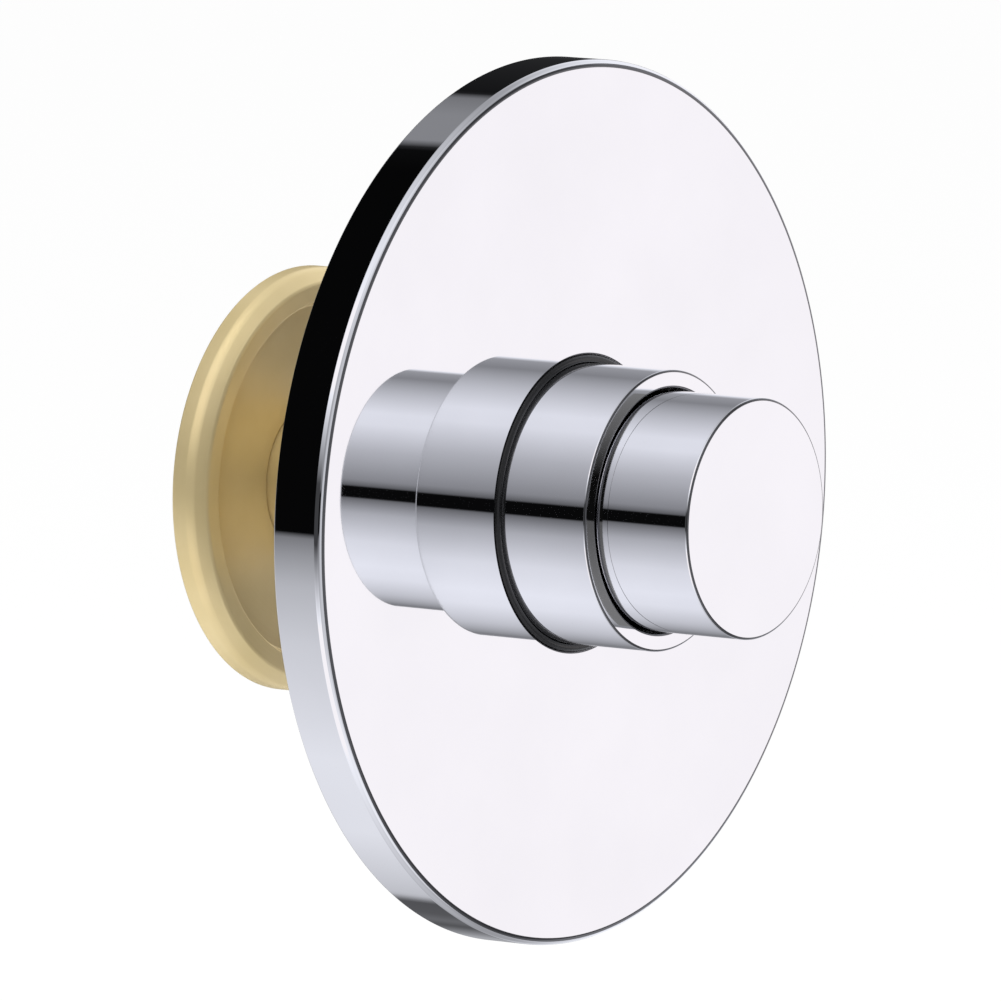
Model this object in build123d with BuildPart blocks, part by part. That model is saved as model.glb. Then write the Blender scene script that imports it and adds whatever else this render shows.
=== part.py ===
"""Concealed push-button shower valve, in millimetres.

The valve's axis runs along Y. The button faces -Y, +Z is up, and the origin is the
centre of the brass flange's rear face, which seats on the wall's structure.
Turned pieces are drawn on a section plane as (radius, forward) outlines, where
forward is the distance in front of that face.
"""
import os

from build123d import *

# Cover plate: a drawn sheet cap that stands on the finished wall
WALL_DEPTH = 49.5
PLATE_DIA = 150.0
PLATE_DEPTH = 9.5
PLATE_SHEET = 1.5
PLATE_EDGE_ROUND = 1.3
PLATE_HOLE_CHAMFER = 0.4
GASKET_WIDTH = 3.5
GASKET_HEIGHT = 3.0

# Black ring that grips the sleeve and holds the plate up to the wall
SEAL_WALL = 1.3
SEAL_PROUD = 0.5
SEAL_FLANGE_WIDTH = 3.2
SEAL_FLANGE_HEIGHT = 2.5

# Sleeve and push button
SLEEVE_DIA = 47.6
SLEEVE_WALL = 3.05
SLEEVE_REACH = 27.0
SLEEVE_EDGE_ROUND = 0.4
SLEEVE_REAR_STEP = 0.5
BUTTON_REACH = 45.3
BUTTON_TRAVEL = 6.0
BUTTON_GAP = 0.4
BUTTON_WALL = 1.7
BUTTON_FRONT = 2.3
BUTTON_EDGE_ROUND = 0.45
SKIRT_CLEARANCE = 3.0
GUIDE_RING_FIT = 0.05
GUIDE_RING_WALL = 1.2
GUIDE_RING_LENGTH = 4.0
GUIDE_RING_SETBACK = 5.0
GRUB_DIA = 4.0
GRUB_INSET = 0.6
GRUB_SETBACK = 3.8
GRUB_SOCKET = 2.0
GRUB_SOCKET_DEPTH = 2.2

# Brass wall flange, dished, with a raised rim
FLANGE_DIA = 72.8
FLANGE_FLOOR = 3.0
RIM_HEIGHT = 6.0
RIM_WIDTH = 5.4
RIM_BEVEL = 2.3
RIM_DRAFT = 1.0
RIM_OUTER_ROUND = 0.6

# Valve body: tail, chamber, outlet branch and front collar
TAIL_DIA = 26.0
TAIL_LENGTH = 16.0
THREAD_DIA = 18.6
INLET_THREAD_DEPTH = 10.0
BODY_DIA = 34.0
COLLAR_DIA = 37.0
COLLAR_LENGTH = 8.0
SHOULDER_CHAMFER = 1.5
BRANCH_DIA = 25.4
BRANCH_REACH = 36.0
BRANCH_BEAD_DIA = 28.0
BRANCH_BEAD_LENGTH = 6.0
BEAD_CHAMFER = 1.0
BRANCH_ROOT_ROUND = 2.0
OUTLET_THREAD_DEPTH = 12.0
OUTLET_PASSAGE_DIA = 10.0
INLET_CHAMBER_DIA = 17.2
OUTLET_CHAMBER_DIA = 20.0
OUTLET_CHAMBER_LENGTH = 12.0
GUIDE_BORE_DIA = 24.0

# Strainer at the end of the inlet thread
STRAINER_DIA = 18.0
STRAINER_THICKNESS = 1.0
STRAINER_HOLE_DIA = 1.8
STRAINER_PITCH = 3.2
STRAINER_RINGS = 2
HOLES_PER_RING = 6

# Seat and the rubber-faced head that closes on it
SEAT_THICKNESS = 4.0
SEAT_DIA = 19.0
SEAT_HOLE_DIA = 11.0
SEAT_GAP = 0.05
END_CLEARANCE = 0.5
NUT_THICKNESS = 3.0
NUT_FLATS = 8.0
HEAD_THICKNESS = 2.5
HEAD_DIA = 15.2
HEAD_LIP = 1.2
WASHER_DIA = 13.6
WASHER_THICKNESS = 2.0

# Rod, its guide and the gland nut
ROD_DIA = 6.0
ROD_TAIL_DIA = 5.0
ROD_COLLAR_DIA = 9.0
ROD_COLLAR_LENGTH = 1.5
ROD_FIT = 0.05
GUIDE_LENGTH = 7.0
RING_SECTION = 1.8
RING_GROOVE_WIDTH = 2.4
RING_ROUND = 0.5
GLAND_THREAD_LENGTH = 8.0
GLAND_HEAD = 4.0
GLAND_FLATS = 28.0
GLAND_BORE_DIA = 8.0

# Carrier inside the button, with its screw and snap ring
SCREW_DIA = 3.3
SCREW_CLEARANCE_DIA = 4.2
SCREW_LENGTH = 15.0
SCREW_HEAD_DIA = 7.2
SCREW_HEAD = 2.4
SCREW_ROOM = 0.6
SCREW_SOCKET = 2.5
SCREW_SOCKET_DEPTH = 1.4
CARRIER_WEB = 5.0
CARRIER_RIM_WIDTH = 3.6
CARRIER_HUB_DIA = 20.0
CARRIER_HUB = 5.0
CARRIER_TAIL_DIA = 10.0
ROD_TIP_SETBACK = 7.5
STOP_CLEARANCE = 0.3
SNAP_WIDTH = 1.2
SNAP_DEPTH = 0.6
SNAP_OPENING = 24.0

# Return spring between the gland nut and the carrier
SPRING_DIA = 14.0
SPRING_WIRE = 1.2
SPRING_TURNS = 6

# Places along the axis, as distances in front of the flange's rear face
wall_face = WALL_DEPTH
plate_face = wall_face + PLATE_DEPTH
plate_inside = plate_face - PLATE_SHEET
sleeve_front = wall_face + SLEEVE_REACH
button_front = wall_face + BUTTON_REACH

strainer_front = INLET_THREAD_DEPTH + STRAINER_THICKNESS
rod_end = strainer_front + END_CLEARANCE + BUTTON_TRAVEL
head_rear = rod_end + NUT_THICKNESS
washer_rear = head_rear + HEAD_THICKNESS
washer_front = washer_rear + WASHER_THICKNESS
seat_rear = washer_front + SEAT_GAP
seat_front = seat_rear + SEAT_THICKNESS
guide_rear = seat_front + OUTLET_CHAMBER_LENGTH
guide_front = guide_rear + GUIDE_LENGTH
body_front = guide_front + GLAND_THREAD_LENGTH
gland_front = body_front + GLAND_HEAD
outlet_centre = (seat_front + guide_rear) / 2

button_inside = button_front - BUTTON_FRONT
carrier_face = button_inside - SCREW_HEAD - SCREW_ROOM
hub_rear = carrier_face - CARRIER_WEB - CARRIER_HUB
tail_rear = gland_front + BUTTON_TRAVEL + STOP_CLEARANCE
rod_tip = carrier_face - ROD_TIP_SETBACK
skirt_rear = body_front + BUTTON_TRAVEL + SKIRT_CLEARANCE
snap_rear = carrier_face - (CARRIER_WEB + SNAP_WIDTH) / 2
snap_front = snap_rear + SNAP_WIDTH

# Radii that two pieces share
plate_radius = PLATE_DIA / 2
rim_inside = plate_radius - PLATE_SHEET
sleeve_radius = SLEEVE_DIA / 2
plate_hole = sleeve_radius + SEAL_WALL
sleeve_bore = sleeve_radius - SLEEVE_WALL
button_radius = sleeve_bore - BUTTON_GAP
guide_ring_inside = button_radius + GUIDE_RING_FIT
guide_ring_outside = guide_ring_inside + GUIDE_RING_WALL
guide_ring_front = sleeve_front - GUIDE_RING_SETBACK
guide_ring_rear = guide_ring_front - GUIDE_RING_LENGTH
button_bore = button_radius - BUTTON_WALL
snap_inside = button_bore - SNAP_DEPTH
snap_outside = button_bore + SNAP_DEPTH
collar_radius = COLLAR_DIA / 2
tail_radius = TAIL_DIA / 2
thread_radius = THREAD_DIA / 2
rod_radius = ROD_DIA / 2
rod_tail_radius = ROD_TAIL_DIA / 2
guide_radius = GUIDE_BORE_DIA / 2
rod_bore = rod_radius + ROD_FIT
washer_radius = WASHER_DIA / 2
seat_radius = SEAT_DIA / 2
screw_radius = SCREW_DIA / 2

# Section plane: its x is the radius, its y is the distance forward
section = Plane(origin=(0, 0, 0), x_dir=(1, 0, 0), z_dir=(0, 0, -1))


def across(forward):
    """Plane square to the axis, facing the front, at a distance forward."""
    return Plane(origin=(0, -forward, 0), x_dir=(1, 0, 0), z_dir=(0, -1, 0))


def rubber_ring(label, inside, outside, middle):
    """Rubber ring of rounded section that fills its groove from wall to wall."""
    with BuildPart() as ring:
        with BuildSketch(section):
            with Locations(((inside + outside) / 2, middle)):
                RectangleRounded(outside - inside, RING_GROOVE_WIDTH, RING_ROUND)
        revolve(axis=Axis.Y)
    ring.part.label = label
    export_step(ring.part, f"parts/{label}.step")


os.makedirs("parts", exist_ok=True)

# Wall flange: a dished brass disc with a bevelled rim, screwed on the body's tail
with BuildPart() as wall_flange:
    rim_radius = FLANGE_DIA / 2
    rim_inner_radius = rim_radius - RIM_WIDTH
    with BuildSketch(section):
        with BuildLine():
            Polyline(
                (tail_radius, 0),
                (rim_radius, 0),
                (rim_radius, RIM_HEIGHT - RIM_BEVEL),
                (rim_radius - RIM_BEVEL, RIM_HEIGHT),
                (rim_inner_radius, RIM_HEIGHT),
                (rim_inner_radius - RIM_DRAFT, FLANGE_FLOOR),
                (tail_radius, FLANGE_FLOOR),
                close=True,
            )
        make_face()
    revolve(axis=Axis.Y)
    outer_edges = wall_flange.edges().filter_by(GeomType.CIRCLE).sort_by(SortBy.RADIUS)[-2:]
    fillet(outer_edges, RIM_OUTER_ROUND)
wall_flange.part.label = "wall_flange"
export_step(wall_flange.part, "parts/wall_flange.step")

# Valve body: one brass casting with a rear inlet, a chamber and an outlet branch on top
with BuildPart() as valve_body:
    with BuildSketch(section):
        with BuildLine():
            Polyline(
                (0, 0),
                (tail_radius, 0),
                (tail_radius, TAIL_LENGTH),
                (BODY_DIA / 2 - SHOULDER_CHAMFER, TAIL_LENGTH),
                (BODY_DIA / 2, TAIL_LENGTH + SHOULDER_CHAMFER),
                (BODY_DIA / 2, body_front - COLLAR_LENGTH),
                (collar_radius, body_front - COLLAR_LENGTH),
                (collar_radius, body_front),
                (0, body_front),
                close=True,
            )
        make_face()
    revolve(axis=Axis.Y)
    branch_plane = Plane(origin=(0, -outlet_centre, 0), x_dir=(1, 0, 0), z_dir=(0, 0, 1))
    with BuildSketch(branch_plane):
        Circle(BRANCH_DIA / 2)
    extrude(amount=BRANCH_REACH)
    root_edges = valve_body.edges().filter_by(GeomType.BSPLINE)
    fillet(root_edges, BRANCH_ROOT_ROUND)
    with BuildSketch(branch_plane.offset(BRANCH_REACH - BRANCH_BEAD_LENGTH)):
        Circle(BRANCH_BEAD_DIA / 2)
    extrude(amount=BRANCH_BEAD_LENGTH)
    bead_edges = valve_body.edges().filter_by(GeomType.CIRCLE).sort_by(Axis.Z)[-1:]
    chamfer(bead_edges, BEAD_CHAMFER)
    with BuildSketch(section):
        with BuildLine():
            Polyline(
                (0, 0),
                (thread_radius, 0),
                (thread_radius, INLET_THREAD_DEPTH),
                (STRAINER_DIA / 2, INLET_THREAD_DEPTH),
                (STRAINER_DIA / 2, strainer_front),
                (INLET_CHAMBER_DIA / 2, strainer_front),
                (INLET_CHAMBER_DIA / 2, seat_rear),
                (seat_radius, seat_rear),
                (seat_radius, seat_front),
                (OUTLET_CHAMBER_DIA / 2, seat_front),
                (OUTLET_CHAMBER_DIA / 2, guide_rear),
                (guide_radius, guide_rear),
                (guide_radius, body_front),
                (0, body_front),
                close=True,
            )
        make_face()
    revolve(axis=Axis.Y, mode=Mode.SUBTRACT)
    with BuildSketch(branch_plane):
        Circle(OUTLET_PASSAGE_DIA / 2)
    extrude(amount=BRANCH_REACH, mode=Mode.SUBTRACT)
    with BuildSketch(branch_plane.offset(BRANCH_REACH - OUTLET_THREAD_DEPTH)):
        Circle(thread_radius)
    extrude(amount=OUTLET_THREAD_DEPTH, mode=Mode.SUBTRACT)
valve_body.part.label = "valve_body"
export_step(valve_body.part, "parts/valve_body.step")

# Inlet strainer: a pierced steel disc against the step behind the inlet thread
with BuildPart() as inlet_strainer:
    with BuildSketch(across(INLET_THREAD_DEPTH)):
        Circle(STRAINER_DIA / 2)
        Circle(STRAINER_HOLE_DIA / 2, mode=Mode.SUBTRACT)
        for ring in range(1, STRAINER_RINGS + 1):
            with PolarLocations(ring * STRAINER_PITCH, ring * HOLES_PER_RING):
                Circle(STRAINER_HOLE_DIA / 2, mode=Mode.SUBTRACT)
    extrude(amount=STRAINER_THICKNESS)
inlet_strainer.part.label = "inlet_strainer"
export_step(inlet_strainer.part, "parts/inlet_strainer.step")

# Valve seat: a turned ring pressed into the body, with a groove for its seal
with BuildPart() as valve_seat:
    seat_groove_rear = (seat_rear + seat_front - RING_GROOVE_WIDTH) / 2
    with BuildSketch(section):
        with BuildLine():
            Polyline(
                (SEAT_HOLE_DIA / 2, seat_rear),
                (seat_radius, seat_rear),
                (seat_radius, seat_groove_rear),
                (seat_radius - RING_SECTION, seat_groove_rear),
                (seat_radius - RING_SECTION, seat_groove_rear + RING_GROOVE_WIDTH),
                (seat_radius, seat_groove_rear + RING_GROOVE_WIDTH),
                (seat_radius, seat_front),
                (SEAT_HOLE_DIA / 2, seat_front),
                close=True,
            )
        make_face()
    revolve(axis=Axis.Y)
valve_seat.part.label = "valve_seat"
export_step(valve_seat.part, "parts/valve_seat.step")

rubber_ring("seat_seal", seat_radius - RING_SECTION, seat_radius, (seat_rear + seat_front) / 2)

# Rod guide: a plastic plug that carries the rod and keeps the water behind it
guide_middle = (guide_rear + guide_front) / 2
with BuildPart() as rod_guide:
    groove_rear = guide_middle - RING_GROOVE_WIDTH / 2
    groove_front = guide_middle + RING_GROOVE_WIDTH / 2
    with BuildSketch(section):
        with BuildLine():
            Polyline(
                (rod_bore, guide_rear),
                (guide_radius, guide_rear),
                (guide_radius, groove_rear),
                (guide_radius - RING_SECTION, groove_rear),
                (guide_radius - RING_SECTION, groove_front),
                (guide_radius, groove_front),
                (guide_radius, guide_front),
                (rod_bore, guide_front),
                (rod_bore, groove_front),
                (rod_bore + RING_SECTION, groove_front),
                (rod_bore + RING_SECTION, groove_rear),
                (rod_bore, groove_rear),
                close=True,
            )
        make_face()
    revolve(axis=Axis.Y)
rod_guide.part.label = "rod_guide"
export_step(rod_guide.part, "parts/rod_guide.step")

rubber_ring("guide_seal", guide_radius - RING_SECTION, guide_radius, guide_middle)
rubber_ring("rod_seal", rod_bore, rod_bore + RING_SECTION, guide_middle)

# Gland nut: hexagon head on a hollow thread, it holds the guide in and seats the spring
with BuildPart() as gland_nut:
    with BuildSketch(across(guide_front)):
        Circle(guide_radius)
    extrude(amount=GLAND_THREAD_LENGTH)
    with BuildSketch(across(body_front)):
        RegularPolygon(GLAND_FLATS / 2, 6, major_radius=False)
    extrude(amount=GLAND_HEAD)
    with BuildSketch(across(guide_front)):
        Circle(GLAND_BORE_DIA / 2)
    extrude(amount=GLAND_THREAD_LENGTH + GLAND_HEAD, mode=Mode.SUBTRACT)
gland_nut.part.label = "gland_nut"
export_step(gland_nut.part, "parts/gland_nut.step")

# Return spring: an open coil of round wire, from the gland nut to the carrier
with BuildPart() as return_spring:
    coil_rear = across(gland_front + SPRING_WIRE / 2)
    coil_length = hub_rear - gland_front - SPRING_WIRE
    with BuildLine():
        coil = Helix(
            pitch=coil_length / SPRING_TURNS,
            height=coil_length,
            radius=SPRING_DIA / 2,
            center=coil_rear.origin,
            direction=coil_rear.z_dir,
        )
    with BuildSketch(Plane(origin=coil @ 0, z_dir=coil % 0)):
        Circle(SPRING_WIRE / 2)
    sweep(path=coil, is_frenet=True)
return_spring.part.label = "return_spring"
export_step(return_spring.part, "parts/return_spring.step")

# Sleeve: a chromed tube screwed on the body's collar, with a groove for the guide ring
with BuildPart() as sleeve:
    sleeve_rear = body_front - COLLAR_LENGTH + SLEEVE_REAR_STEP
    with BuildSketch(section):
        with BuildLine():
            Polyline(
                (collar_radius, sleeve_rear),
                (sleeve_radius, sleeve_rear),
                (sleeve_radius, sleeve_front),
                (sleeve_bore, sleeve_front),
                (sleeve_bore, guide_ring_front),
                (guide_ring_outside, guide_ring_front),
                (guide_ring_outside, guide_ring_rear),
                (sleeve_bore, guide_ring_rear),
                (sleeve_bore, body_front),
                (collar_radius, body_front),
                close=True,
            )
        make_face()
    revolve(axis=Axis.Y)
    fillet(sleeve.edges().filter_by(GeomType.CIRCLE).group_by(Axis.Y)[0], SLEEVE_EDGE_ROUND)
    grub_plane = Plane(origin=(0, -body_front + GRUB_SETBACK, 0), x_dir=(1, 0, 0), z_dir=(0, 0, -1))
    with BuildSketch(grub_plane):
        Circle(GRUB_DIA / 2)
    extrude(amount=sleeve_radius, mode=Mode.SUBTRACT)
sleeve.part.label = "sleeve"
export_step(sleeve.part, "parts/sleeve.step")

# Grub screw: locks the sleeve on the collar, from below, behind the plate
with BuildPart() as sleeve_grub_screw:
    grub_end = sleeve_radius - GRUB_INSET
    with BuildSketch(grub_plane.offset(collar_radius)):
        Circle(GRUB_DIA / 2)
    extrude(amount=grub_end - collar_radius)
    with BuildSketch(grub_plane.offset(grub_end)):
        RegularPolygon(GRUB_SOCKET / 2, 6, major_radius=False)
    extrude(amount=-GRUB_SOCKET_DEPTH, mode=Mode.SUBTRACT)
sleeve_grub_screw.part.label = "sleeve_grub_screw"
export_step(sleeve_grub_screw.part, "parts/sleeve_grub_screw.step")

# Guide ring: a plastic band in the sleeve's bore that the button slides in
with BuildPart() as button_guide_ring:
    with BuildSketch(across(guide_ring_rear)):
        Circle(guide_ring_outside)
        Circle(guide_ring_inside, mode=Mode.SUBTRACT)
    extrude(amount=GUIDE_RING_LENGTH)
button_guide_ring.part.label = "button_guide_ring"
export_step(button_guide_ring.part, "parts/button_guide_ring.step")

# Plate seal: the black ring, its nose in the plate's hole and its flange behind the sheet
with BuildPart() as plate_seal:
    with BuildSketch(section):
        with BuildLine():
            Polyline(
                (sleeve_radius, plate_inside - SEAL_FLANGE_HEIGHT),
                (plate_hole + SEAL_FLANGE_WIDTH, plate_inside - SEAL_FLANGE_HEIGHT),
                (plate_hole + SEAL_FLANGE_WIDTH, plate_inside),
                (plate_hole, plate_inside),
                (plate_hole, plate_face + SEAL_PROUD / 2),
                (plate_hole - SEAL_PROUD / 2, plate_face + SEAL_PROUD),
                (sleeve_radius, plate_face + SEAL_PROUD),
                close=True,
            )
        make_face()
    revolve(axis=Axis.Y)
plate_seal.part.label = "plate_seal"
export_step(plate_seal.part, "parts/plate_seal.step")

# Cover plate: a round chromed cap of drawn sheet, open behind
with BuildPart() as cover_plate:
    with BuildSketch(section):
        with BuildLine():
            Polyline(
                (plate_hole, plate_inside),
                (rim_inside, plate_inside),
                (rim_inside, wall_face),
                (plate_radius, wall_face),
                (plate_radius, plate_face),
                (plate_hole, plate_face),
                close=True,
            )
        make_face()
    revolve(axis=Axis.Y)
    front_edges = cover_plate.edges().filter_by(GeomType.CIRCLE).group_by(Axis.Y)[0]
    fillet(front_edges.sort_by(SortBy.RADIUS)[-1], PLATE_EDGE_ROUND)
    hole_edges = cover_plate.edges().filter_by(GeomType.CIRCLE).group_by(Axis.Y)[0]
    chamfer(hole_edges.sort_by(SortBy.RADIUS)[0], PLATE_HOLE_CHAMFER)
cover_plate.part.label = "cover_plate"
export_step(cover_plate.part, "parts/cover_plate.step")

# Plate gasket: a foam strip stuck inside the rim, against the tiles
with BuildPart() as plate_gasket:
    with BuildSketch(across(wall_face)):
        Circle(rim_inside)
        Circle(rim_inside - GASKET_WIDTH, mode=Mode.SUBTRACT)
    extrude(amount=GASKET_HEIGHT)
plate_gasket.part.label = "plate_gasket"
export_step(plate_gasket.part, "parts/plate_gasket.step")

# Push button: a chromed cup with a plain flat front and a groove for the snap ring
with BuildPart() as push_button:
    with BuildSketch(section):
        with BuildLine():
            Polyline(
                (0, button_inside),
                (button_bore, button_inside),
                (button_bore, snap_front),
                (snap_outside, snap_front),
                (snap_outside, snap_rear),
                (button_bore, snap_rear),
                (button_bore, skirt_rear),
                (button_radius, skirt_rear),
                (button_radius, button_front),
                (0, button_front),
                close=True,
            )
        make_face()
    revolve(axis=Axis.Y)
    fillet(push_button.edges().filter_by(GeomType.CIRCLE).group_by(Axis.Y)[0], BUTTON_EDGE_ROUND)
push_button.part.label = "push_button"
export_step(push_button.part, "parts/push_button.step")

# Button carrier: a moulded hub on the rod, with a tail that stops the stroke
with BuildPart() as button_carrier:
    web_rear = carrier_face - CARRIER_WEB
    with BuildSketch(section):
        with BuildLine():
            Polyline(
                (rod_radius, tail_rear),
                (CARRIER_TAIL_DIA / 2, tail_rear),
                (CARRIER_TAIL_DIA / 2, hub_rear),
                (CARRIER_HUB_DIA / 2, hub_rear),
                (CARRIER_HUB_DIA / 2, web_rear),
                (button_bore, web_rear),
                (button_bore, snap_rear),
                (snap_inside, snap_rear),
                (snap_inside, snap_front),
                (button_bore, snap_front),
                (button_bore, button_inside),
                (button_bore - CARRIER_RIM_WIDTH, button_inside),
                (button_bore - CARRIER_RIM_WIDTH, carrier_face),
                (SCREW_CLEARANCE_DIA / 2, carrier_face),
                (SCREW_CLEARANCE_DIA / 2, rod_tip),
                (rod_radius, rod_tip),
                close=True,
            )
        make_face()
    revolve(axis=Axis.Y)
button_carrier.part.label = "button_carrier"
export_step(button_carrier.part, "parts/button_carrier.step")

# Snap ring: a split spring ring between the carrier's groove and the button's
with BuildPart() as button_snap_ring:
    with BuildSketch(section):
        with Locations((button_bore, snap_rear + SNAP_WIDTH / 2)):
            Rectangle(snap_outside - snap_inside, SNAP_WIDTH)
    revolve(axis=Axis.Y, revolution_arc=360 - SNAP_OPENING)
button_snap_ring.part.label = "button_snap_ring"
export_step(button_snap_ring.part, "parts/button_snap_ring.step")

# Carrier screw: a socket-head screw into the rod's tip
with BuildPart() as carrier_screw:
    with BuildSketch(across(carrier_face - SCREW_LENGTH)):
        Circle(screw_radius)
    extrude(amount=SCREW_LENGTH)
    with BuildSketch(across(carrier_face)):
        Circle(SCREW_HEAD_DIA / 2)
    extrude(amount=SCREW_HEAD)
    with BuildSketch(across(carrier_face + SCREW_HEAD)):
        RegularPolygon(SCREW_SOCKET / 2, 6, major_radius=False)
    extrude(amount=-SCREW_SOCKET_DEPTH, mode=Mode.SUBTRACT)
carrier_screw.part.label = "carrier_screw"
export_step(carrier_screw.part, "parts/carrier_screw.step")

# Valve rod: a steel rod, with a collar for the closing head and a tapped tip
with BuildPart() as valve_rod:
    with BuildSketch(section):
        with BuildLine():
            Polyline(
                (0, rod_end),
                (rod_tail_radius, rod_end),
                (rod_tail_radius, washer_front),
                (ROD_COLLAR_DIA / 2, washer_front),
                (ROD_COLLAR_DIA / 2, washer_front + ROD_COLLAR_LENGTH),
                (rod_radius, washer_front + ROD_COLLAR_LENGTH),
                (rod_radius, rod_tip),
                (screw_radius, rod_tip),
                (screw_radius, carrier_face - SCREW_LENGTH),
                (0, carrier_face - SCREW_LENGTH),
                close=True,
            )
        make_face()
    revolve(axis=Axis.Y)
valve_rod.part.label = "valve_rod"
export_step(valve_rod.part, "parts/valve_rod.step")

# Closing head: a brass cup that holds the rubber washer against the rod's collar
with BuildPart() as closing_head:
    with BuildSketch(section):
        with BuildLine():
            Polyline(
                (rod_tail_radius, head_rear),
                (HEAD_DIA / 2, head_rear),
                (HEAD_DIA / 2, washer_rear + HEAD_LIP),
                (washer_radius, washer_rear + HEAD_LIP),
                (washer_radius, washer_rear),
                (rod_tail_radius, washer_rear),
                close=True,
            )
        make_face()
    revolve(axis=Axis.Y)
closing_head.part.label = "closing_head"
export_step(closing_head.part, "parts/closing_head.step")

# Head washer: the rubber face that closes on the seat
with BuildPart() as head_washer:
    with BuildSketch(across(washer_rear)):
        Circle(washer_radius)
        Circle(rod_tail_radius, mode=Mode.SUBTRACT)
    extrude(amount=WASHER_THICKNESS)
head_washer.part.label = "head_washer"
export_step(head_washer.part, "parts/head_washer.step")

# Head nut: clamps the closing head on the rod's threaded end
with BuildPart() as head_nut:
    with BuildSketch(across(rod_end)):
        RegularPolygon(NUT_FLATS / 2, 6, major_radius=False)
        Circle(rod_tail_radius, mode=Mode.SUBTRACT)
    extrude(amount=NUT_THICKNESS)
head_nut.part.label = "head_nut"
export_step(head_nut.part, "parts/head_nut.step")
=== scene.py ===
import math

import bmesh
import bpy
from mathutils import Matrix, Vector


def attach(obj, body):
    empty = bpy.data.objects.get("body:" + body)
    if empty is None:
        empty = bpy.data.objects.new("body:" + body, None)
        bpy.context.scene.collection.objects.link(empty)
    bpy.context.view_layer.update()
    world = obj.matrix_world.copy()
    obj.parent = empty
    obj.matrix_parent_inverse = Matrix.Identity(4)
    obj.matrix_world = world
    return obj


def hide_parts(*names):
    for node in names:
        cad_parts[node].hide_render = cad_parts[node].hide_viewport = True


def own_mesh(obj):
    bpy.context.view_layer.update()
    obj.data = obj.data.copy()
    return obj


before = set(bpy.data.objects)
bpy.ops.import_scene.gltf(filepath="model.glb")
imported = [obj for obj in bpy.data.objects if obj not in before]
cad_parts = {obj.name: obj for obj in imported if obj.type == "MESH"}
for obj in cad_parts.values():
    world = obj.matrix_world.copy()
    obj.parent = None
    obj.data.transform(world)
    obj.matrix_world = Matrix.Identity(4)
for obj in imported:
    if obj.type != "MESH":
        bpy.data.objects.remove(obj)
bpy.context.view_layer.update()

# Wall flange: a dished brass disc with a bevelled rim, screwed on the valve's tail.
# It is turned from bar, with fine lathe marks round the axis and softly broken edges.
FLANGE_OUTLINE = (
    (13.0, 0.0),
    (36.4, 0.0),
    (36.4, 3.7),
    (34.1, 6.0),
    (31.0, 6.0),
    (30.0, 3.0),
    (13.0, 3.0),
)
FLANGE_ROUNDS = {0: 0.3, 1: 0.5, 2: 1.1, 3: 0.5, 4: 0.2, 5: 0.4, 6: 0.5}
TURN_STEPS = 288
ROUND_SEGMENTS = 6
SAME_PLACE = 1e-6
MERGE_DISTANCE = 2e-6
SHARP_ANGLE = math.radians(28)
NORMAL_WEIGHT = 80
BRASS_COLOURS = (
    (0.25, (0.68, 0.545, 0.27)),
    (0.75, (0.78, 0.64, 0.36)),
)


def turned(name, outline, rounds, steps=TURN_STEPS, cutters=()):
    """Spins a closed outline of (radius, forward) points in mm round the valve's axis.
    rounds gives the size in mm of the round on each corner of the outline that has one."""
    mesh = bmesh.new()
    corners = [mesh.verts.new((radius / 1000, -forward / 1000, 0)) for radius, forward in outline]
    sides = [mesh.edges.new(pair) for pair in zip(corners, corners[1:] + corners[:1])]
    bmesh.ops.spin(
        mesh, geom=corners + sides, cent=(0, 0, 0), axis=(0, 1, 0), dvec=(0, 0, 0),
        angle=math.tau, steps=steps, use_merge=True,
    )
    bmesh.ops.remove_doubles(mesh, verts=mesh.verts[:], dist=SAME_PLACE)
    bmesh.ops.recalc_face_normals(mesh, faces=mesh.faces[:])
    for corner, size in rounds.items():
        radius, forward = outline[corner]
        circle = [
            edge for edge in mesh.edges
            if all(
                abs(math.hypot(vert.co.x, vert.co.z) - radius / 1000) < SAME_PLACE
                and abs(vert.co.y + forward / 1000) < SAME_PLACE
                for vert in edge.verts
            )
        ]
        bmesh.ops.bevel(
            mesh, geom=circle, offset=size / 1000, offset_type="OFFSET", segments=ROUND_SEGMENTS,
            profile=0.5, affect="EDGES", material=-1,
        )
    return finished(name, mesh, cutters)


def placed(name, mesh):
    """Makes an object of a bmesh."""
    data = bpy.data.meshes.new(name)
    mesh.to_mesh(data)
    mesh.free()
    piece = bpy.data.objects.new(name, data)
    bpy.context.scene.collection.objects.link(piece)
    return piece


def finished(name, mesh, cutters=()):
    """Makes a piece of a bmesh, less its cutters, smooth on its curves and sharp on its corners."""
    piece = placed(name, mesh)
    for cutter in cutters:
        cut = piece.modifiers.new("cut", "BOOLEAN")
        cut.solver = "EXACT"
        cut.object = cutter
    if cutters:
        whole = piece.data
        evaluated = piece.evaluated_get(bpy.context.evaluated_depsgraph_get())
        piece.data = bpy.data.meshes.new_from_object(evaluated)
        piece.modifiers.clear()
        bpy.data.meshes.remove(whole)
        for cutter in cutters:
            bpy.data.meshes.remove(cutter.data)
        piece.data.name = name
        merged = bmesh.new()
        merged.from_mesh(piece.data)
        bmesh.ops.remove_doubles(merged, verts=merged.verts[:], dist=MERGE_DISTANCE)
        bmesh.ops.recalc_face_normals(merged, faces=merged.faces[:])
        merged.to_mesh(piece.data)
        merged.free()
    piece.data.shade_smooth()
    piece.data.set_sharp_from_angle(angle=SHARP_ANGLE)
    evened = piece.modifiers.new("evened_normals", "WEIGHTED_NORMAL")
    evened.keep_sharp = True
    evened.weight = NORMAL_WEIGHT
    return piece


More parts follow.
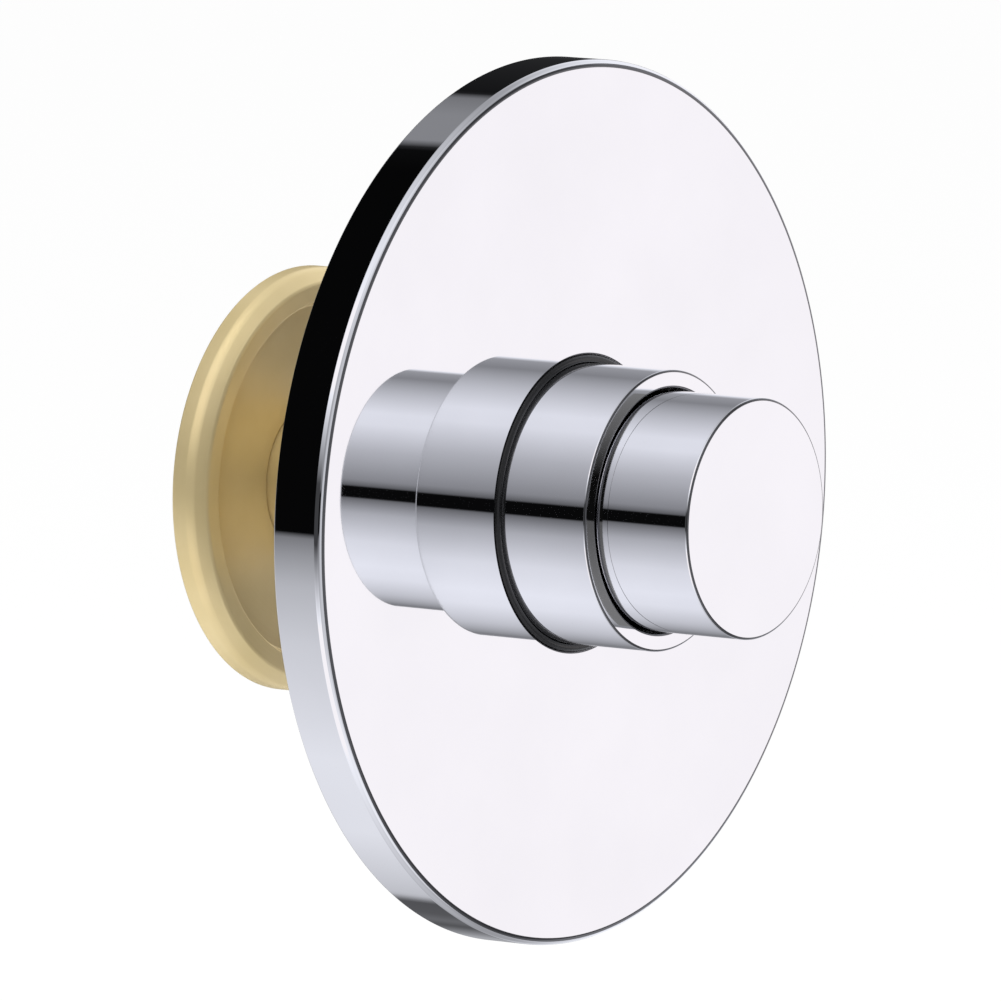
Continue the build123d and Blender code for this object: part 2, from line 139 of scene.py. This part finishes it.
def shader_node(tree, kind, settings=None, inputs=None):
    """Adds a node, with its settings and with its sockets set or linked."""
    made = tree.nodes.new("ShaderNode" + kind)
    for key, value in (settings or {}).items():
        setattr(made, key, value)
    for key, value in (inputs or {}).items():
        if isinstance(value, bpy.types.NodeSocket):
            tree.links.new(value, made.inputs[key])
        else:
            made.inputs[key].default_value = value
    return made


def colour_ramp(tree, factor, stops):
    """Adds a colour ramp of (place, colour) stops."""
    made = shader_node(tree, "ValToRGB", inputs={"Fac": factor})
    elements = made.color_ramp.elements
    while len(elements) < len(stops):
        elements.new(1.0)
    for element, (place, colour) in zip(elements, stops):
        element.position = place
        element.color = (*colour, 1.0)
    return made.outputs["Color"]


def lathe_place(tree):
    """Object coordinates as (distance from the axis, distance along it), for patterns round the axis."""
    place = shader_node(tree, "TexCoord").outputs["Object"]
    parts = shader_node(tree, "SeparateXYZ", inputs={"Vector": place}).outputs
    across = shader_node(tree, "CombineXYZ", inputs={"X": parts["X"], "Y": parts["Z"]}).outputs["Vector"]
    radius = shader_node(tree, "VectorMath", {"operation": "LENGTH"}, {0: across}).outputs["Value"]
    return shader_node(tree, "CombineXYZ", inputs={"X": radius, "Y": parts["Y"]}).outputs["Vector"]


def satin_brass(name, cast):
    """Satin brass: a warm pale gold, slightly uneven, with the grain of a casting or with lathe marks."""
    finish = bpy.data.materials.new(name)
    finish.use_nodes = True
    tree = finish.node_tree
    surface = tree.nodes["Principled BSDF"]
    surface.inputs["Metallic"].default_value = 0.62
    place = shader_node(tree, "TexCoord").outputs["Object"]
    cloud = shader_node(tree, "TexNoise", inputs={"Vector": place, "Scale": 55.0, "Detail": 4.0})
    grain = place if cast else lathe_place(tree)
    marks = shader_node(
        tree, "TexNoise", inputs={"Vector": grain, "Scale": 1500.0, "Detail": 3.0, "Roughness": 0.6}
    )
    colour = colour_ramp(tree, cloud.outputs["Fac"], BRASS_COLOURS)
    rough = shader_node(
        tree, "MapRange", inputs={"Value": marks.outputs["Fac"], "To Min": 0.3, "To Max": 0.42}
    )
    ridges = shader_node(
        tree, "Bump", inputs={"Height": marks.outputs["Fac"], "Strength": 0.2, "Distance": 0.0001}
    )
    tree.links.new(colour, surface.inputs["Base Color"])
    tree.links.new(rough.outputs["Result"], surface.inputs["Roughness"])
    tree.links.new(ridges.outputs["Normal"], surface.inputs["Normal"])
    return finish


brass = satin_brass("turned_brass", cast=False)
flange = turned("dished_wall_flange", FLANGE_OUTLINE, FLANGE_ROUNDS)
flange.data.materials.append(brass)
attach(flange, "fixed_valve")
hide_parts("wall_flange")

# Valve body: a brass casting with the inlet in its tail, a chamber and an outlet branch on top.
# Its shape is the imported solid's, with half-inch pipe threads and bevelled mouths cut in both ports.
THREAD_PITCH = 0.001814
THREAD_INNER = 0.0091
THREAD_OUTER = 0.01045
THREAD_HALF_WIDTH = 0.0007
THREAD_STEPS = 48
MOUTH_RADIUS = 0.0106
MOUTH_DEPTH = 0.0014
MOUTH_SEGMENTS = 96
INLET_THREAD_DEPTH = 0.0095
OUTLET_THREAD_DEPTH = 0.0115
OUTLET_PLACE = (0, -0.03505, 0.036)
FLAT_ANGLE = math.radians(1)


def joined_copy(node, name, cutters):
    """A copy of a CAD node with its triangles joined into whole faces, less its cutters."""
    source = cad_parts[node].data
    mesh = bmesh.new()
    corners = [mesh.verts.new(vert.co) for vert in source.vertices]
    for face in source.polygons:
        mesh.faces.new([corners[index] for index in face.vertices])
    bmesh.ops.remove_doubles(mesh, verts=mesh.verts[:], dist=MERGE_DISTANCE)
    bmesh.ops.dissolve_limit(mesh, angle_limit=FLAT_ANGLE, verts=mesh.verts[:], edges=mesh.edges[:])
    bmesh.ops.recalc_face_normals(mesh, faces=mesh.faces[:])
    return finished(name, mesh, cutters)


def port_cutters(name, depth, port):
    """Cutters for a port: a screw thread along local +Z from the mouth, and the bevel of the mouth."""
    mesh = bmesh.new()
    steps = round(THREAD_STEPS * depth / THREAD_PITCH)
    section = (
        (THREAD_INNER, -THREAD_HALF_WIDTH),
        (THREAD_OUTER, 0),
        (THREAD_INNER, THREAD_HALF_WIDTH),
    )
    mesh.faces.new([mesh.verts.new((radius, 0, side - THREAD_PITCH / 2)) for radius, side in section])
    bmesh.ops.spin(
        mesh, geom=mesh.verts[:] + mesh.edges[:] + mesh.faces[:], cent=(0, 0, 0), axis=(0, 0, 1),
        dvec=(0, 0, THREAD_PITCH / THREAD_STEPS), angle=math.tau * steps / THREAD_STEPS, steps=steps,
    )
    bmesh.ops.recalc_face_normals(mesh, faces=mesh.faces[:])
    mesh.transform(port)
    thread = placed(name + "_thread", mesh)
    mesh = bmesh.new()
    bmesh.ops.create_cone(
        mesh, cap_ends=True, segments=MOUTH_SEGMENTS, depth=2 * MOUTH_DEPTH, matrix=port,
        radius1=MOUTH_RADIUS + MOUTH_DEPTH, radius2=MOUTH_RADIUS - MOUTH_DEPTH,
    )
    return [thread, placed(name + "_mouth", mesh)]


inlet = Matrix.Rotation(math.radians(90), 4, "X")
outlet = Matrix.Translation(OUTLET_PLACE) @ Matrix.Rotation(math.radians(180), 4, "X")
ports = port_cutters("inlet", INLET_THREAD_DEPTH, inlet)
ports += port_cutters("outlet", OUTLET_THREAD_DEPTH, outlet)
casting = joined_copy("valve_body", "cast_valve_body", ports)
casting.data.materials.append(satin_brass("cast_brass", cast=True))
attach(casting, "fixed_valve")
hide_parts("valve_body")

# Inlet strainer, seat and their rubber ring: a pierced steel disc against the step behind the
# inlet thread, and a turned steel ring pressed in ahead of it. Bright steel, drawn or turned.


def bright_steel():
    """Bright steel with faint drawing lines and slightly uneven shine."""
    finish = bpy.data.materials.new("bright_steel")
    finish.use_nodes = True
    tree = finish.node_tree
    surface = tree.nodes["Principled BSDF"]
    surface.inputs["Metallic"].default_value = 1.0
    around = lathe_place(tree)
    lines = shader_node(
        tree, "TexNoise", {"noise_dimensions": "2D"},
        {"Vector": around, "Scale": 3200.0, "Detail": 3.0},
    )
    colour = colour_ramp(tree, lines.outputs["Fac"], ((0.3, (0.50, 0.50, 0.52)), (0.7, (0.66, 0.66, 0.68))))
    rough = shader_node(
        tree, "MapRange", inputs={"Value": lines.outputs["Fac"], "To Min": 0.2, "To Max": 0.36}
    )
    tree.links.new(colour, surface.inputs["Base Color"])
    tree.links.new(rough.outputs["Result"], surface.inputs["Roughness"])
    return finish


def black_rubber(name, smooth, coarse):
    """Black rubber with a fine grain, between two roughnesses."""
    finish = bpy.data.materials.new(name)
    finish.use_nodes = True
    tree = finish.node_tree
    surface = tree.nodes["Principled BSDF"]
    surface.inputs["Specular IOR Level"].default_value = 0.4
    place = shader_node(tree, "TexCoord").outputs["Object"]
    grain = shader_node(tree, "TexNoise", inputs={"Vector": place, "Scale": 1800.0, "Detail": 4.0})
    colour = colour_ramp(
        tree, grain.outputs["Fac"], ((0.3, (0.003, 0.003, 0.003)), (0.7, (0.006, 0.006, 0.007)))
    )
    rough = shader_node(
        tree, "MapRange", inputs={"Value": grain.outputs["Fac"], "To Min": smooth, "To Max": coarse}
    )
    pits = shader_node(
        tree, "Bump", inputs={"Height": grain.outputs["Fac"], "Strength": 0.2, "Distance": 0.0001}
    )
    tree.links.new(colour, surface.inputs["Base Color"])
    tree.links.new(rough.outputs["Result"], surface.inputs["Roughness"])
    tree.links.new(pits.outputs["Normal"], surface.inputs["Normal"])
    return finish


def dress(finish, *names):
    """Gives a finish to CAD nodes whose shape is right as it is."""
    for name in names:
        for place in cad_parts[name].material_slots:
            place.material = finish


steel = bright_steel()
rubber = black_rubber("black_rubber", smooth=0.5, coarse=0.7)
dress(steel, "inlet_strainer", "valve_seat")
dress(rubber, "seat_seal")

# Rod guide and its two rubber rings: a white moulded plug that the rod slides in, held in the
# body by the brass gland nut.


def moulded_plastic(name, dark, pale):
    """Moulded plastic with a fine spark-eroded texture."""
    finish = bpy.data.materials.new(name)
    finish.use_nodes = True
    tree = finish.node_tree
    surface = tree.nodes["Principled BSDF"]
    place = shader_node(tree, "TexCoord").outputs["Object"]
    grain = shader_node(tree, "TexNoise", inputs={"Vector": place, "Scale": 900.0, "Detail": 5.0})
    colour = colour_ramp(tree, grain.outputs["Fac"], ((0.3, dark), (0.7, pale)))
    rough = shader_node(
        tree, "MapRange", inputs={"Value": grain.outputs["Fac"], "To Min": 0.4, "To Max": 0.6}
    )
    sparks = shader_node(
        tree, "Bump", inputs={"Height": grain.outputs["Fac"], "Strength": 0.15, "Distance": 0.0001}
    )
    tree.links.new(colour, surface.inputs["Base Color"])
    tree.links.new(rough.outputs["Result"], surface.inputs["Roughness"])
    tree.links.new(sparks.outputs["Normal"], surface.inputs["Normal"])
    return finish


white_plastic = moulded_plastic("white_plastic", dark=(0.66, 0.65, 0.61), pale=(0.74, 0.73, 0.69))
dress(white_plastic, "rod_guide")
dress(rubber, "guide_seal", "rod_seal")
dress(brass, "gland_nut")

# Return spring: six open turns of round steel wire between the gland nut and the carrier.
# It is coiled cold from drawn wire. In the real valve it shortens by the button's travel; here it is fixed
# to the valve at one length.
SPRING_RADIUS = 0.007
SPRING_WIRE_RADIUS = 0.0006
SPRING_WIRE_SIDES = 16
SPRING_REAR = 0.06005
SPRING_FRONT = 0.0795
SPRING_TURNS = 6
SPRING_STEPS = 48 * SPRING_TURNS

mesh = bmesh.new()
rise = SPRING_FRONT - SPRING_REAR - 2 * SPRING_WIRE_RADIUS
wire_end = Matrix.Translation((SPRING_RADIUS, -SPRING_REAR - SPRING_WIRE_RADIUS, 0))
section = bmesh.ops.create_circle(
    mesh, cap_ends=True, segments=SPRING_WIRE_SIDES, radius=SPRING_WIRE_RADIUS, matrix=wire_end
)
bmesh.ops.spin(
    mesh, geom=section["verts"] + mesh.edges[:] + mesh.faces[:], cent=(0, 0, 0), axis=(0, -1, 0),
    dvec=(0, -rise / SPRING_STEPS, 0), angle=math.tau * SPRING_TURNS, steps=SPRING_STEPS,
)
bmesh.ops.recalc_face_normals(mesh, faces=mesh.faces[:])
spring = finished("coiled_return_spring", mesh)
spring.data.materials.append(steel)
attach(spring, "fixed_valve")
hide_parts("return_spring")
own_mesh(spring)

# Sleeve: a brass tube, chromed and polished, screwed on the body's front collar.
# Its front ring is faced flat, with hardly broken edges, and a grub screw locks it from below.
SLEEVE_OUTLINE = (
    (18.5, 48.55),
    (23.8, 48.55),
    (23.8, 76.5),
    (20.75, 76.5),
    (20.75, 71.5),
    (21.6, 71.5),
    (21.6, 67.5),
    (20.75, 67.5),
    (20.75, 56.05),
    (18.5, 56.05),
)
SLEEVE_ROUNDS = {1: 0.3, 2: 0.4, 3: 0.4}
# How far a rounded edge leans to the front before it gets a painted dark reflection line.
PAINTED_REFLECTION_LEAN = 0.6
FLAT_LEAN = 0.995
GRUB_RADIUS = 0.0021
GRUB_REACH = 0.008
GRUB_SEGMENTS = 48
GRUB_PLACE = Matrix.Translation((0, -0.05225, -0.0212))


def chrome_plating(name, dark, pale, smooth, coarse):
    """Chrome plating: a cool mirror with a trace of haze from buffing, between two roughnesses."""
    finish = bpy.data.materials.new(name)
    finish.use_nodes = True
    tree = finish.node_tree
    surface = tree.nodes["Principled BSDF"]
    surface.inputs["Metallic"].default_value = 1.0
    place = shader_node(tree, "TexCoord").outputs["Object"]
    haze = shader_node(tree, "TexNoise", inputs={"Vector": place, "Scale": 40.0, "Detail": 6.0})
    colour = colour_ramp(tree, haze.outputs["Fac"], ((0.3, dark), (0.7, pale)))
    rough = shader_node(
        tree, "MapRange", inputs={"Value": haze.outputs["Fac"], "To Min": smooth, "To Max": coarse}
    )
    tree.links.new(colour, surface.inputs["Base Color"])
    tree.links.new(rough.outputs["Result"], surface.inputs["Roughness"])
    return finish


def paint_edge_reflections(piece, lean):
    """Gives a piece's second finish, a dark chrome that is a painted dark reflection, to the part of its
    rounded edges that leans to the front.
    Flat fronts keep the first."""
    for face in piece.data.polygons:
        if lean < -face.normal.y < FLAT_LEAN:
            face.material_index = 1


chrome = chrome_plating(
    "mirror_chrome", dark=(0.90, 0.90, 0.92), pale=(0.93, 0.93, 0.95), smooth=0.012, coarse=0.03
)
# A dark chrome, whose near-black colour is a painted dark reflection along the rounded edges.
painted_edge_reflection = chrome_plating(
    "chrome_painted_edge_reflection", dark=(0.11, 0.11, 0.115), pale=(0.15, 0.15, 0.155), smooth=0.012, coarse=0.03
)
mesh = bmesh.new()
bmesh.ops.create_cone(
    mesh, cap_ends=True, segments=GRUB_SEGMENTS, radius1=GRUB_RADIUS, radius2=GRUB_RADIUS,
    depth=GRUB_REACH, matrix=GRUB_PLACE,
)
grub_hole = placed("grub_hole", mesh)
sleeve = turned("chromed_sleeve", SLEEVE_OUTLINE, SLEEVE_ROUNDS, cutters=[grub_hole])
sleeve.data.materials.append(chrome)
# The sleeve's rounded front edges get a painted dark reflection line.
sleeve.data.materials.append(painted_edge_reflection)
paint_edge_reflections(sleeve, PAINTED_REFLECTION_LEAN)
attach(sleeve, "fixed_valve")
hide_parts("sleeve")
dress(steel, "sleeve_grub_screw")

# Guide ring: a black plastic band which the button slides in.
# It is moulded, and lies in a groove in the sleeve's bore.
black_plastic = moulded_plastic("black_plastic", dark=(0.012, 0.012, 0.013), pale=(0.022, 0.022, 0.024))
dress(black_plastic, "button_guide_ring")

# Plate seal: the black rubber ring whose nose shows round the sleeve. Its flange grips the
# sheet from behind and keeps the plate up to the wall.
SEAL_OUTLINE = (
    (23.8, 55.0),
    (28.3, 55.0),
    (28.3, 57.5),
    (25.1, 57.5),
    (25.1, 59.5),
    (23.8, 59.5),
)
SEAL_ROUNDS = {1: 0.4, 2: 0.3, 4: 0.55, 5: 0.45}
seal = turned("black_plate_seal", SEAL_OUTLINE, SEAL_ROUNDS)
seal.data.materials.append(black_rubber("smooth_rubber", smooth=0.2, coarse=0.3))
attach(seal, "fixed_valve")
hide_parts("plate_seal")

# Cover plate: a round cap drawn from sheet, chromed, polished on its face and rim and dull inside.
# Its front edge is slightly rounded and it is open behind.
PLATE_OUTLINE = (
    (25.1, 57.5),
    (73.5, 57.5),
    (73.5, 49.5),
    (75.0, 49.5),
    (75.0, 59.0),
    (25.1, 59.0),
)
PLATE_ROUNDS = {1: 1.0, 2: 0.3, 3: 0.3, 4: 1.3, 5: 0.4}
PLATE_STEPS = 384
# How far the plate's rounded edges lean before they get a painted dark reflection line.
PLATE_PAINTED_REFLECTION_LEAN = 0.8
DULL_REAR_LEAN = 0.5
DULL_OUTWARD = -0.01
dull_chrome = chrome_plating(
    "dull_chrome", dark=(0.60, 0.60, 0.61), pale=(0.68, 0.68, 0.69), smooth=0.32, coarse=0.42
)
plate = turned("chromed_cover_plate", PLATE_OUTLINE, PLATE_ROUNDS, steps=PLATE_STEPS)
plate.data.materials.append(chrome)
# The plate's rounded front edges get a painted dark reflection line.
plate.data.materials.append(painted_edge_reflection)
plate.data.materials.append(dull_chrome)
paint_edge_reflections(plate, PLATE_PAINTED_REFLECTION_LEAN)
for face in plate.data.polygons:
    outward = Vector((face.center.x, 0, face.center.z)).dot(face.normal)
    if face.normal.y > DULL_REAR_LEAN or outward < DULL_OUTWARD:
        face.material_index = 2
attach(plate, "fixed_valve")
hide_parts("cover_plate")

# Plate gasket: a strip of black foam rubber, cut from sheet.
# It is stuck inside the plate's rim and seals it against the tiles.
GASKET_OUTLINE = (
    (70.0, 49.5),
    (73.5, 49.5),
    (73.5, 52.5),
    (70.0, 52.5),
)
GASKET_ROUNDS = {0: 0.4, 3: 0.4}
gasket = turned("foam_plate_gasket", GASKET_OUTLINE, GASKET_ROUNDS)
gasket.data.materials.append(rubber)
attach(gasket, "fixed_valve")
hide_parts("plate_gasket")

# Push button: a chromed brass cup with a plain flat front, polished all over. It slides in the
# sleeve on the guide ring, and a groove inside takes the snap ring.
BUTTON_OUTLINE = (
    (0.0, 92.5),
    (18.65, 92.5),
    (18.65, 87.6),
    (19.25, 87.6),
    (19.25, 86.4),
    (18.65, 86.4),
    (18.65, 65.05),
    (20.35, 65.05),
    (20.35, 94.8),
    (0.0, 94.8),
)
BUTTON_ROUNDS = {7: 0.3, 8: 0.45}
button = turned("chromed_push_button", BUTTON_OUTLINE, BUTTON_ROUNDS)
button.data.materials.append(chrome)
# The button's rounded front edges get a painted dark reflection line.
button.data.materials.append(painted_edge_reflection)
paint_edge_reflections(button, PAINTED_REFLECTION_LEAN)
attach(button, "button_assembly")
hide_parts("push_button")

# Carrier, screw, snap ring, rod and closing head: a black moulded hub in the button, screwed to
# the steel rod, whose other end has a brass head with a rubber face and a brass nut.
dress(black_plastic, "button_carrier")
dress(steel, "button_snap_ring", "carrier_screw", "valve_rod")
dress(brass, "closing_head", "head_nut")
dress(rubber, "head_washer")

# Studio floor: a wide pale floor well below the valve, which keeps its shadow.
# Mirrors don't see it, and to the camera it is mostly plain white, so the shadow is faint.
FLOOR_HEIGHT = -0.25
FLOOR_SIZE = 12.0
FLOOR_TONE = 0.96
FLOOR_WHITE_SHARE = 0.85

mesh = bmesh.new()
bmesh.ops.create_grid(
    mesh, x_segments=1, y_segments=1, size=FLOOR_SIZE, matrix=Matrix.Translation((0, 0, FLOOR_HEIGHT))
)
floor = placed("studio_floor", mesh)
floor.visible_glossy = False
floor.visible_shadow = False
pale = bpy.data.materials.new("pale_floor")
pale.use_nodes = True
tree = pale.node_tree
tree.nodes.clear()
matt = shader_node(tree, "BsdfDiffuse", inputs={"Color": (FLOOR_TONE, FLOOR_TONE, FLOOR_TONE, 1)})
white = shader_node(tree, "Emission", inputs={"Color": (1, 1, 1, 1), "Strength": 1.0})
seen = shader_node(tree, "LightPath").outputs["Is Camera Ray"]
share = shader_node(tree, "Math", {"operation": "MULTIPLY"}, {0: seen, 1: FLOOR_WHITE_SHARE})
mixed = shader_node(
    tree, "MixShader", inputs={0: share.outputs[0], 1: matt.outputs[0], 2: white.outputs[0]}
)
shader_node(tree, "OutputMaterial", inputs={"Surface": mixed.outputs[0]})
floor.data.materials.append(pale)

# Dark hoop: a narrow bent strip of card round the button, which only doubly mirrored light sees.
# It makes the dark crescent where the sleeve's front ring mirrors the side of the button.
# Its tones are given as (degrees round the valve's axis, tone), as the tent's are.
HOOP_RADIUS = 0.1
HOOP_REAR = 0.1303
HOOP_WIDTH = 0.0045
HOOP_BEND = 0.0154
HOOP_MIDDLE = 172
HOOP_TONES = (
    (40, 0.20),
    (100, 0.12),
    (112, 0.09),
    (146, 0.004),
    (184.5, 0.004),
    (185, 0.09),
    (215, 0.14),
    (260, 0.20),
    (315, 0.20),
)
SEAM_ANGLE = -18
MORE_THAN_ONE_MIRROR = 1.5


def stage_prop(name, mesh):
    """Makes a studio piece of a bmesh, which only mirrors see."""
    prop = placed(name, mesh)
    prop.data.shade_smooth()
    prop.visible_camera = False
    prop.visible_diffuse = False
    prop.visible_transmission = False
    prop.visible_shadow = False
    return prop


def panel_tones(tree, direction, panels):
    """A grey ramp of (degrees round the valve's axis, tone) panels."""
    parts = shader_node(tree, "SeparateXYZ", inputs={"Vector": direction}).outputs
    angle = shader_node(tree, "Math", {"operation": "ARCTAN2"}, {0: parts["Z"], 1: parts["X"]})
    turns = shader_node(
        tree, "Math", {"operation": "MULTIPLY_ADD"},
        {0: angle.outputs[0], 1: 1 / math.tau, 2: -SEAM_ANGLE / 360},
    )
    turn = shader_node(tree, "Math", {"operation": "FRACT"}, {0: turns.outputs[0]}).outputs[0]
    stops = [((degrees - SEAM_ANGLE) / 360, (tone, tone, tone)) for degrees, tone in panels]
    return colour_ramp(tree, turn, stops)


mesh = bmesh.new()
first = HOOP_TONES[0][0]
last = HOOP_TONES[-1][0]
start = Matrix.Rotation(math.radians(-first), 4, "Y")
edge = mesh.edges.new([
    mesh.verts.new(start @ Vector((HOOP_RADIUS, -forward, 0)))
    for forward in (HOOP_REAR, HOOP_REAR + HOOP_WIDTH)
])
bmesh.ops.spin(
    mesh, geom=[*edge.verts, edge], cent=(0, 0, 0), axis=(0, -1, 0), dvec=(0, 0, 0),
    angle=math.radians(last - first), steps=last - first,
)
for vert in mesh.verts:
    degrees = math.degrees(math.atan2(vert.co.z, vert.co.x)) % 360
    vert.co.y -= HOOP_BEND * (1 - math.cos(math.radians(degrees - HOOP_MIDDLE) / 2))
hoop = stage_prop("dark_hoop", mesh)
card = bpy.data.materials.new("hoop_card")
card.use_nodes = True
tree = card.node_tree
tree.nodes.clear()
place = shader_node(tree, "TexCoord").outputs["Object"]
tones = panel_tones(tree, place, HOOP_TONES)
glow = shader_node(tree, "Emission", inputs={"Color": tones, "Strength": 1.0})
clear = shader_node(tree, "BsdfTransparent")
mirrors = shader_node(tree, "LightPath").outputs["Glossy Depth"]
twice = shader_node(tree, "Math", {"operation": "GREATER_THAN"}, {0: mirrors, 1: MORE_THAN_ONE_MIRROR})
mixed = shader_node(
    tree, "MixShader", inputs={0: twice.outputs[0], 1: clear.outputs[0], 2: glow.outputs[0]}
)
shader_node(tree, "OutputMaterial", inputs={"Surface": mixed.outputs[0]})
hoop.data.materials.append(card)

# Light tent: a round white tent with dark panels in its lining, which only the polished metal sees.
# It has a grey card straight in front of the valve, and one row of panels in front, one beside the
# valve and one behind it.
PLATE_BACK = Vector((0, -0.0495, 0))
TENT_RADIUS = 1.2
TENT_SUBDIVISIONS = 5
LINING_COLOURS = (
    (0.0, (0.0, 0.0, 0.0)),
    (0.95, (0.915, 0.93, 0.995)),
    (1.0, (1.0, 0.97, 1.0)),
)
FRONT_CARD_TONE = 0.6
FRONT_PANELS = (
    (-18, 1.0),
    (8, 1.0),
    (20, 0.36),
    (42, 0.26),
    (60, 0.45),
    (98, 0.88),
    (112, 0.86),
    (140, 0.52),
    (168, 0.28),
    (173.5, 0.12),
    (174, 0.003),
    (184.5, 0.003),
    (186, 0.16),
    (200, 0.48),
    (228, 0.82),
    (256, 0.94),
    (272, 0.90),
    (300, 0.62),
    (330, 0.22),
    (338, 0.30),
)
BACK_PANELS = (
    (-18, 0.14),
    (-4, 0.05),
    (13, 0.02),
    (48, 0.008),
    (51, 0.19),
    (60, 0.25),
    (72, 0.25),
    (75, 0.004),
    (84, 0.002),
    (185, 0.002),
    (185.5, 0.20),
    (190, 0.32),
    (198, 0.50),
    (213, 0.66),
    (245, 0.83),
    (270, 0.82),
    (298, 0.56),
    (302, 0.09),
    (310, 0.10),
    (315, 0.15),
    (320, 0.09),
    (334, 0.40),
)
EDGE_PANELS = (
    (-18, 1.0),
    (30, 0.95),
    (58, 0.4),
    (66, 0.36),
    (100, 0.72),
    (130, 1.0),
    (150, 1.0),
    (172, 0.05),
    (186, 0.05),
    (205, 1.0),
    (235, 1.0),
    (265, 0.66),
    (300, 0.34),
    (308, 0.38),
    (326, 0.95),
)
NOT_BEHIND, BEHIND = -0.1, 0.1
NOT_BESIDE, BESIDE = 0.5, 0.44
NOT_IN_FRONT, IN_FRONT = -0.72, -0.85


def share_between(tree, value, none, whole):
    """How far a value is from one limit to another, as a share from 0 to 1."""
    limits = {"Value": value, "From Min": none, "From Max": whole}
    return shader_node(tree, "MapRange", inputs=limits).outputs["Result"]


def blended(tree, share, first, second):
    """A colour between two, where a share of 1 is all the second.
    A mix node has its two colours in sockets 6 and 7, and gives the result in socket 2."""
    sockets = {"Factor": share, 6: first, 7: second}
    return shader_node(tree, "Mix", {"data_type": "RGBA"}, sockets).outputs[2]


mesh = bmesh.new()
bmesh.ops.create_icosphere(
    mesh, subdivisions=TENT_SUBDIVISIONS, radius=TENT_RADIUS, matrix=Matrix.Translation(PLATE_BACK)
)
tent = stage_prop("light_tent", mesh)
lining = bpy.data.materials.new("tent_lining")
lining.use_nodes = True
tree = lining.node_tree
tree.nodes.clear()
place = shader_node(tree, "TexCoord").outputs["Object"]
centred = shader_node(tree, "VectorMath", {"operation": "SUBTRACT"}, {0: place, 1: PLATE_BACK})
direction = shader_node(tree, "VectorMath", {"operation": "NORMALIZE"}, {0: centred.outputs[0]}).outputs[0]
along = shader_node(tree, "SeparateXYZ", inputs={"Vector": direction}).outputs["Y"]
lean = shader_node(tree, "Math", {"operation": "ABSOLUTE"}, {0: along}).outputs[0]
front_card = (FRONT_CARD_TONE, FRONT_CARD_TONE, FRONT_CARD_TONE, 1)
ends = blended(
    tree, share_between(tree, along, NOT_BEHIND, BEHIND),
    panel_tones(tree, direction, FRONT_PANELS), panel_tones(tree, direction, BACK_PANELS),
)
sides = blended(
    tree, share_between(tree, lean, NOT_BESIDE, BESIDE), ends, panel_tones(tree, direction, EDGE_PANELS)
)
all_round = blended(tree, share_between(tree, along, NOT_IN_FRONT, IN_FRONT), sides, front_card)
tinted = colour_ramp(tree, all_round, LINING_COLOURS)
glow = shader_node(tree, "Emission", inputs={"Color": tinted, "Strength": 1.0})
shader_node(tree, "OutputMaterial", inputs={"Surface": glow.outputs[0]})
tent.data.materials.append(lining)

# Lamps: two large soft square lamps, above and below the valve, which light the brass and the rubber.
# Mirrors and the camera don't see them.
LAMP_SIZE = 0.6
LAMP_AIM = Vector((0, -0.03, 0))
LAMPS = (
    ("upper_lamp", Vector((-0.2, -0.15, 1.2)), 19.0),
    ("lower_lamp", Vector((-0.2, -0.15, -1.2)), 8.5),
)

for name, place, power in LAMPS:
    light = bpy.data.lights.new(name, "AREA")
    light.size = LAMP_SIZE
    light.energy = power
    lamp = bpy.data.objects.new(name, light)
    lamp.location = place
    lamp.rotation_euler = (place - LAMP_AIM).to_track_quat("Z", "Y").to_euler()
    lamp.visible_glossy = False
    lamp.visible_camera = False
    bpy.context.scene.collection.objects.link(lamp)

# Background: plain white where the camera looks past the valve and the floor.
# The room's own white light on matt surfaces is slightly weaker.
ROOM_STRENGTH = 0.9

world = bpy.data.worlds.new("studio_white")
bpy.context.scene.world = world
world.use_nodes = True
tree = world.node_tree
tree.nodes.clear()
rays = shader_node(tree, "LightPath").outputs
seen = rays["Is Camera Ray"]
for ray in ("Is Glossy Ray", "Is Transmission Ray"):
    seen = shader_node(tree, "Math", {"operation": "MAXIMUM"}, {0: seen, 1: rays[ray]}).outputs[0]
room = shader_node(tree, "Background", inputs={"Color": (1, 1, 1, 1), "Strength": ROOM_STRENGTH})
white = shader_node(tree, "Background", inputs={"Color": (1, 1, 1, 1), "Strength": 1.0})
mixed = shader_node(tree, "MixShader", inputs={0: seen, 1: room.outputs[0], 2: white.outputs[0]})
shader_node(tree, "OutputWorld", inputs={"Surface": mixed.outputs[0]})

# Camera: far off with a long lens, a little above the valve and well to its left, as in the photo.
# Its place was fitted to the outline of the plate.
CAMERA_AZIMUTH = math.radians(-54.77)
CAMERA_ELEVATION = math.radians(7.45)
CAMERA_DISTANCE = 2.5
FRAME_WIDTH = 0.16937
OBJECT_RIGHT = 0.00577
OBJECT_UP = 0.00026
CAMERA_REACH = 100

camera_data = bpy.data.cameras.new("studio_camera")
camera_data.lens = camera_data.sensor_width * CAMERA_DISTANCE / FRAME_WIDTH
camera_data.clip_end = CAMERA_REACH
camera = bpy.data.objects.new("studio_camera", camera_data)
level = math.cos(CAMERA_ELEVATION)
back = Vector((
    math.sin(CAMERA_AZIMUTH) * level,
    -math.cos(CAMERA_AZIMUTH) * level,
    math.sin(CAMERA_ELEVATION),
))
right = Vector((math.cos(CAMERA_AZIMUTH), math.sin(CAMERA_AZIMUTH), 0))
up = back.cross(right)
camera.location = PLATE_BACK - right * OBJECT_RIGHT - up * OBJECT_UP + back * CAMERA_DISTANCE
camera.rotation_euler = back.to_track_quat("Z", "Y").to_euler()
bpy.context.scene.collection.objects.link(camera)
bpy.context.scene.camera = camera
bpy.context.scene.view_settings.view_transform = "Standard"
